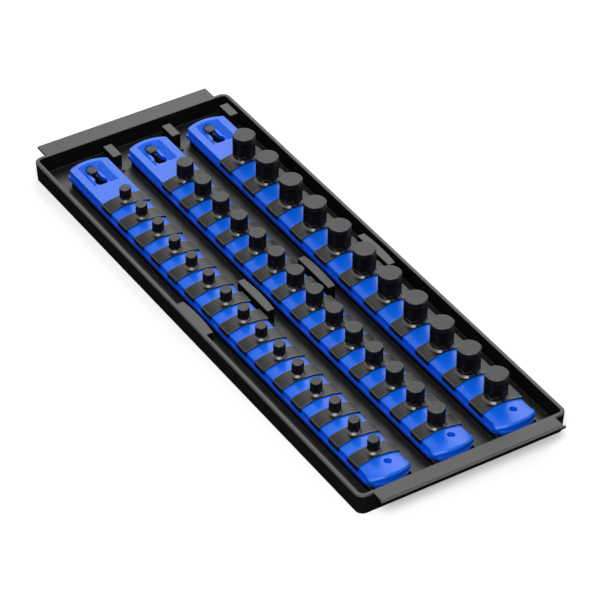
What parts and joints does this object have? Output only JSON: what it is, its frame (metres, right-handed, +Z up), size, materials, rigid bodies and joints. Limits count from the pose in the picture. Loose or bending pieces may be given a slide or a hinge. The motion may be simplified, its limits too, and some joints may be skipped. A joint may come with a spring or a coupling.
{
  "type": "socket organizer tray",
  "caption": "Shallow open tray with lockable plastic rails that carry sliding clips, each with a twist-lock post for a socket.",
  "frame": {"origin": "middle of the underside, on the surface the tray stands on", "axes": "+Y along the rails towards the handle ends, +X towards the half-inch rail, +Z up"},
  "size_m": [0.126, 0.355, 0.0281],
  "materials": {
    "abs_black": "moulded ABS, fine satin grain",
    "stud_black": "moulded nylon, satin",
    "rail_blue": "moulded polypropylene, semi-gloss blue",
    "clip_nylon": "moulded nylon, satin black"
  },
  "bodies": {
    "tray_body": {"tray": "abs_black", "quarter_stud": "stud_black", "three_eighths_stud": "stud_black", "half_stud": "stud_black"},
    "quarter_rail_body": {"quarter_rail": "rail_blue"},
    "quarter_clip_01_body": {"quarter_clip_01": "clip_nylon"},
    "quarter_clip_02_body": {"quarter_clip_02": "clip_nylon"},
    "quarter_clip_03_body": {"quarter_clip_03": "clip_nylon"},
    "quarter_clip_04_body": {"quarter_clip_04": "clip_nylon"},
    "quarter_clip_05_body": {"quarter_clip_05": "clip_nylon"},
    "quarter_clip_06_body": {"quarter_clip_06": "clip_nylon"},
    "quarter_clip_07_body": {"quarter_clip_07": "clip_nylon"},
    "quarter_clip_08_body": {"quarter_clip_08": "clip_nylon"},
    "quarter_clip_09_body": {"quarter_clip_09": "clip_nylon"},
    "quarter_clip_10_body": {"quarter_clip_10": "clip_nylon"},
    "quarter_clip_11_body": {"quarter_clip_11": "clip_nylon"},
    "quarter_clip_12_body": {"quarter_clip_12": "clip_nylon"},
    "quarter_clip_13_body": {"quarter_clip_13": "clip_nylon"},
    "quarter_clip_14_body": {"quarter_clip_14": "clip_nylon"},
    "quarter_clip_15_body": {"quarter_clip_15": "clip_nylon"},
    "three_eighths_rail_body": {"three_eighths_rail": "rail_blue"},
    "three_eighths_clip_01_body": {"three_eighths_clip_01": "clip_nylon"},
    "three_eighths_clip_02_body": {"three_eighths_clip_02": "clip_nylon"},
    "three_eighths_clip_03_body": {"three_eighths_clip_03": "clip_nylon"},
    "three_eighths_clip_04_body": {"three_eighths_clip_04": "clip_nylon"},
    "three_eighths_clip_05_body": {"three_eighths_clip_05": "clip_nylon"},
    "three_eighths_clip_06_body": {"three_eighths_clip_06": "clip_nylon"},
    "three_eighths_clip_07_body": {"three_eighths_clip_07": "clip_nylon"},
    "three_eighths_clip_08_body": {"three_eighths_clip_08": "clip_nylon"},
    "three_eighths_clip_09_body": {"three_eighths_clip_09": "clip_nylon"},
    "three_eighths_clip_10_body": {"three_eighths_clip_10": "clip_nylon"},
    "three_eighths_clip_11_body": {"three_eighths_clip_11": "clip_nylon"},
    "three_eighths_clip_12_body": {"three_eighths_clip_12": "clip_nylon"},
    "three_eighths_clip_13_body": {"three_eighths_clip_13": "clip_nylon"},
    "three_eighths_clip_14_body": {"three_eighths_clip_14": "clip_nylon"},
    "half_rail_body": {"half_rail": "rail_blue"},
    "half_clip_01_body": {"half_clip_01": "clip_nylon"},
    "half_clip_02_body": {"half_clip_02": "clip_nylon"},
    "half_clip_03_body": {"half_clip_03": "clip_nylon"},
    "half_clip_04_body": {"half_clip_04": "clip_nylon"},
    "half_clip_05_body": {"half_clip_05": "clip_nylon"},
    "half_clip_06_body": {"half_clip_06": "clip_nylon"},
    "half_clip_07_body": {"half_clip_07": "clip_nylon"},
    "half_clip_08_body": {"half_clip_08": "clip_nylon"},
    "half_clip_09_body": {"half_clip_09": "clip_nylon"},
    "half_clip_10_body": {"half_clip_10": "clip_nylon"},
    "half_clip_11_body": {"half_clip_11": "clip_nylon"}
  },
  "joints": [
    {"name": "quarter_rail_slide", "type": "slide", "parent": "tray_body", "child": "quarter_rail_body", "axis": [0, 1, 0], "range_m": [0, 0.0104]},
    {"name": "quarter_clip_01_slide", "type": "slide", "parent": "quarter_rail_body", "child": "quarter_clip_01_body", "axis": [0, 1, 0], "range_m": [-0.0042, 0]},
    {"name": "quarter_clip_02_slide", "type": "slide", "parent": "quarter_rail_body", "child": "quarter_clip_02_body", "axis": [0, 1, 0], "range_m": [-0.0042, 0.0042]},
    {"name": "quarter_clip_03_slide", "type": "slide", "parent": "quarter_rail_body", "child": "quarter_clip_03_body", "axis": [0, 1, 0], "range_m": [-0.0042, 0.0042]},
    {"name": "quarter_clip_04_slide", "type": "slide", "parent": "quarter_rail_body", "child": "quarter_clip_04_body", "axis": [0, 1, 0], "range_m": [-0.0042, 0.0042]},
    {"name": "quarter_clip_05_slide", "type": "slide", "parent": "quarter_rail_body", "child": "quarter_clip_05_body", "axis": [0, 1, 0], "range_m": [-0.0042, 0.0042]},
    {"name": "quarter_clip_06_slide", "type": "slide", "parent": "quarter_rail_body", "child": "quarter_clip_06_body", "axis": [0, 1, 0], "range_m": [-0.0042, 0.0042]},
    {"name": "quarter_clip_07_slide", "type": "slide", "parent": "quarter_rail_body", "child": "quarter_clip_07_body", "axis": [0, 1, 0], "range_m": [-0.0042, 0.0042]},
    {"name": "quarter_clip_08_slide", "type": "slide", "parent": "quarter_rail_body", "child": "quarter_clip_08_body", "axis": [0, 1, 0], "range_m": [-0.0042, 0.0042]},
    {"name": "quarter_clip_09_slide", "type": "slide", "parent": "quarter_rail_body", "child": "quarter_clip_09_body", "axis": [0, 1, 0], "range_m": [-0.0042, 0.0042]},
    {"name": "quarter_clip_10_slide", "type": "slide", "parent": "quarter_rail_body", "child": "quarter_clip_10_body", "axis": [0, 1, 0], "range_m": [-0.0042, 0.0042]},
    {"name": "quarter_clip_11_slide", "type": "slide", "parent": "quarter_rail_body", "child": "quarter_clip_11_body", "axis": [0, 1, 0], "range_m": [-0.0042, 0.0042]},
    {"name": "quarter_clip_12_slide", "type": "slide", "parent": "quarter_rail_body", "child": "quarter_clip_12_body", "axis": [0, 1, 0], "range_m": [-0.0042, 0.0042]},
    {"name": "quarter_clip_13_slide", "type": "slide", "parent": "quarter_rail_body", "child": "quarter_clip_13_body", "axis": [0, 1, 0], "range_m": [-0.0042, 0.0042]},
    {"name": "quarter_clip_14_slide", "type": "slide", "parent": "quarter_rail_body", "child": "quarter_clip_14_body", "axis": [0, 1, 0], "range_m": [-0.0042, 0.0042]},
    {"name": "quarter_clip_15_slide", "type": "slide", "parent": "quarter_rail_body", "child": "quarter_clip_15_body", "axis": [0, 1, 0], "range_m": [-0.0042, 0.0042]},
    {"name": "three_eighths_rail_slide", "type": "slide", "parent": "tray_body", "child": "three_eighths_rail_body", "axis": [0, 1, 0], "range_m": [0, 0.0104]},
    {"name": "three_eighths_clip_01_slide", "type": "slide", "parent": "three_eighths_rail_body", "child": "three_eighths_clip_01_body", "axis": [0, 1, 0], "range_m": [-0.0049, 0]},
    {"name": "three_eighths_clip_02_slide", "type": "slide", "parent": "three_eighths_rail_body", "child": "three_eighths_clip_02_body", "axis": [0, 1, 0], "range_m": [-0.0049, 0.0049]},
    {"name": "three_eighths_clip_03_slide", "type": "slide", "parent": "three_eighths_rail_body", "child": "three_eighths_clip_03_body", "axis": [0, 1, 0], "range_m": [-0.0049, 0.0049]},
    {"name": "three_eighths_clip_04_slide", "type": "slide", "parent": "three_eighths_rail_body", "child": "three_eighths_clip_04_body", "axis": [0, 1, 0], "range_m": [-0.0049, 0.0049]},
    {"name": "three_eighths_clip_05_slide", "type": "slide", "parent": "three_eighths_rail_body", "child": "three_eighths_clip_05_body", "axis": [0, 1, 0], "range_m": [-0.0049, 0.0049]},
    {"name": "three_eighths_clip_06_slide", "type": "slide", "parent": "three_eighths_rail_body", "child": "three_eighths_clip_06_body", "axis": [0, 1, 0], "range_m": [-0.0049, 0.0049]},
    {"name": "three_eighths_clip_07_slide", "type": "slide", "parent": "three_eighths_rail_body", "child": "three_eighths_clip_07_body", "axis": [0, 1, 0], "range_m": [-0.0049, 0.0049]},
    {"name": "three_eighths_clip_08_slide", "type": "slide", "parent": "three_eighths_rail_body", "child": "three_eighths_clip_08_body", "axis": [0, 1, 0], "range_m": [-0.0049, 0.0049]},
    {"name": "three_eighths_clip_09_slide", "type": "slide", "parent": "three_eighths_rail_body", "child": "three_eighths_clip_09_body", "axis": [0, 1, 0], "range_m": [-0.0049, 0.0049]},
    {"name": "three_eighths_clip_10_slide", "type": "slide", "parent": "three_eighths_rail_body", "child": "three_eighths_clip_10_body", "axis": [0, 1, 0], "range_m": [-0.0049, 0.0049]},
    {"name": "three_eighths_clip_11_slide", "type": "slide", "parent": "three_eighths_rail_body", "child": "three_eighths_clip_11_body", "axis": [0, 1, 0], "range_m": [-0.0049, 0.0049]},
    {"name": "three_eighths_clip_12_slide", "type": "slide", "parent": "three_eighths_rail_body", "child": "three_eighths_clip_12_body", "axis": [0, 1, 0], "range_m": [-0.0049, 0.0049]},
    {"name": "three_eighths_clip_13_slide", "type": "slide", "parent": "three_eighths_rail_body", "child": "three_eighths_clip_13_body", "axis": [0, 1, 0], "range_m": [-0.0049, 0.0049]},
    {"name": "three_eighths_clip_14_slide", "type": "slide", "parent": "three_eighths_rail_body", "child": "three_eighths_clip_14_body", "axis": [0, 1, 0], "range_m": [-0.0049, 0.0049]},
    {"name": "half_rail_slide", "type": "slide", "parent": "tray_body", "child": "half_rail_body", "axis": [0, 1, 0], "range_m": [0, 0.0104]},
    {"name": "half_clip_01_slide", "type": "slide", "parent": "half_rail_body", "child": "half_clip_01_body", "axis": [0, 1, 0], "range_m": [-0.006, 0]},
    {"name": "half_clip_02_slide", "type": "slide", "parent": "half_rail_body", "child": "half_clip_02_body", "axis": [0, 1, 0], "range_m": [-0.006, 0.006]},
    {"name": "half_clip_03_slide", "type": "slide", "parent": "half_rail_body", "child": "half_clip_03_body", "axis": [0, 1, 0], "range_m": [-0.006, 0.006]},
    {"name": "half_clip_04_slide", "type": "slide", "parent": "half_rail_body", "child": "half_clip_04_body", "axis": [0, 1, 0], "range_m": [-0.006, 0.006]},
    {"name": "half_clip_05_slide", "type": "slide", "parent": "half_rail_body", "child": "half_clip_05_body", "axis": [0, 1, 0], "range_m": [-0.006, 0.006]},
    {"name": "half_clip_06_slide", "type": "slide", "parent": "half_rail_body", "child": "half_clip_06_body", "axis": [0, 1, 0], "range_m": [-0.006, 0.006]},
    {"name": "half_clip_07_slide", "type": "slide", "parent": "half_rail_body", "child": "half_clip_07_body", "axis": [0, 1, 0], "range_m": [-0.006, 0.006]},
    {"name": "half_clip_08_slide", "type": "slide", "parent": "half_rail_body", "child": "half_clip_08_body", "axis": [0, 1, 0], "range_m": [-0.006, 0.006]},
    {"name": "half_clip_09_slide", "type": "slide", "parent": "half_rail_body", "child": "half_clip_09_body", "axis": [0, 1, 0], "range_m": [-0.006, 0.006]},
    {"name": "half_clip_10_slide", "type": "slide", "parent": "half_rail_body", "child": "half_clip_10_body", "axis": [0, 1, 0], "range_m": [-0.006, 0.006]},
    {"name": "half_clip_11_slide", "type": "slide", "parent": "half_rail_body", "child": "half_clip_11_body", "axis": [0, 1, 0], "range_m": [-0.006, 0.006]}
  ]
}
